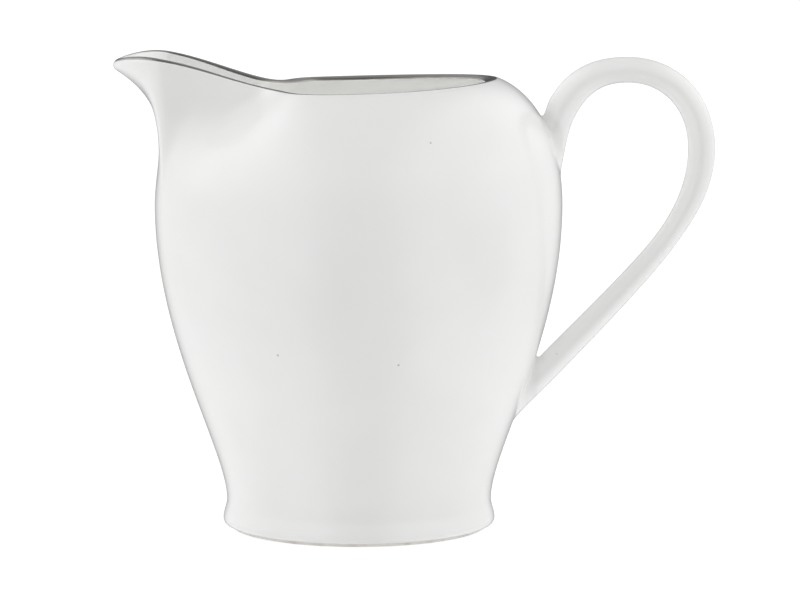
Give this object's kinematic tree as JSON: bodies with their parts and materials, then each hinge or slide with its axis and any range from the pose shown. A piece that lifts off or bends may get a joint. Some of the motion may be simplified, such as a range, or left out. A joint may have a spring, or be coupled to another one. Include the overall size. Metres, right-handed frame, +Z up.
{
  "type": "milk and water jug",
  "caption": "Vase-shaped porcelain jug with a pinched pouring lip, a high ear-shaped loop handle, a small flared foot and a thin metal line on its rim.",
  "frame": {"origin": "centre of the unglazed standing ring, in the plane that the jug rests on", "axes": "+Z up along the body's axis, +X towards the handle, -X towards the spout, and +Y across the jug, which is the same on both sides of Y = 0"},
  "size_m": [0.1835, 0.1244, 0.1452],
  "materials": {
    "glazed_china": "white bone china under a clear smooth glossy glaze",
    "bisque": "unglazed bone china, ground flat and matt",
    "platinum": "bright fired liquid platinum, brushed on by hand"
  },
  "bodies": {
    "root": {"jug_body": "glazed_china", "foot_ring": "bisque", "handle": "glazed_china", "upper_handle_joint": "glazed_china", "lower_handle_joint": "glazed_china", "platinum_rim_line": "platinum"}
  },
  "joints": []
}
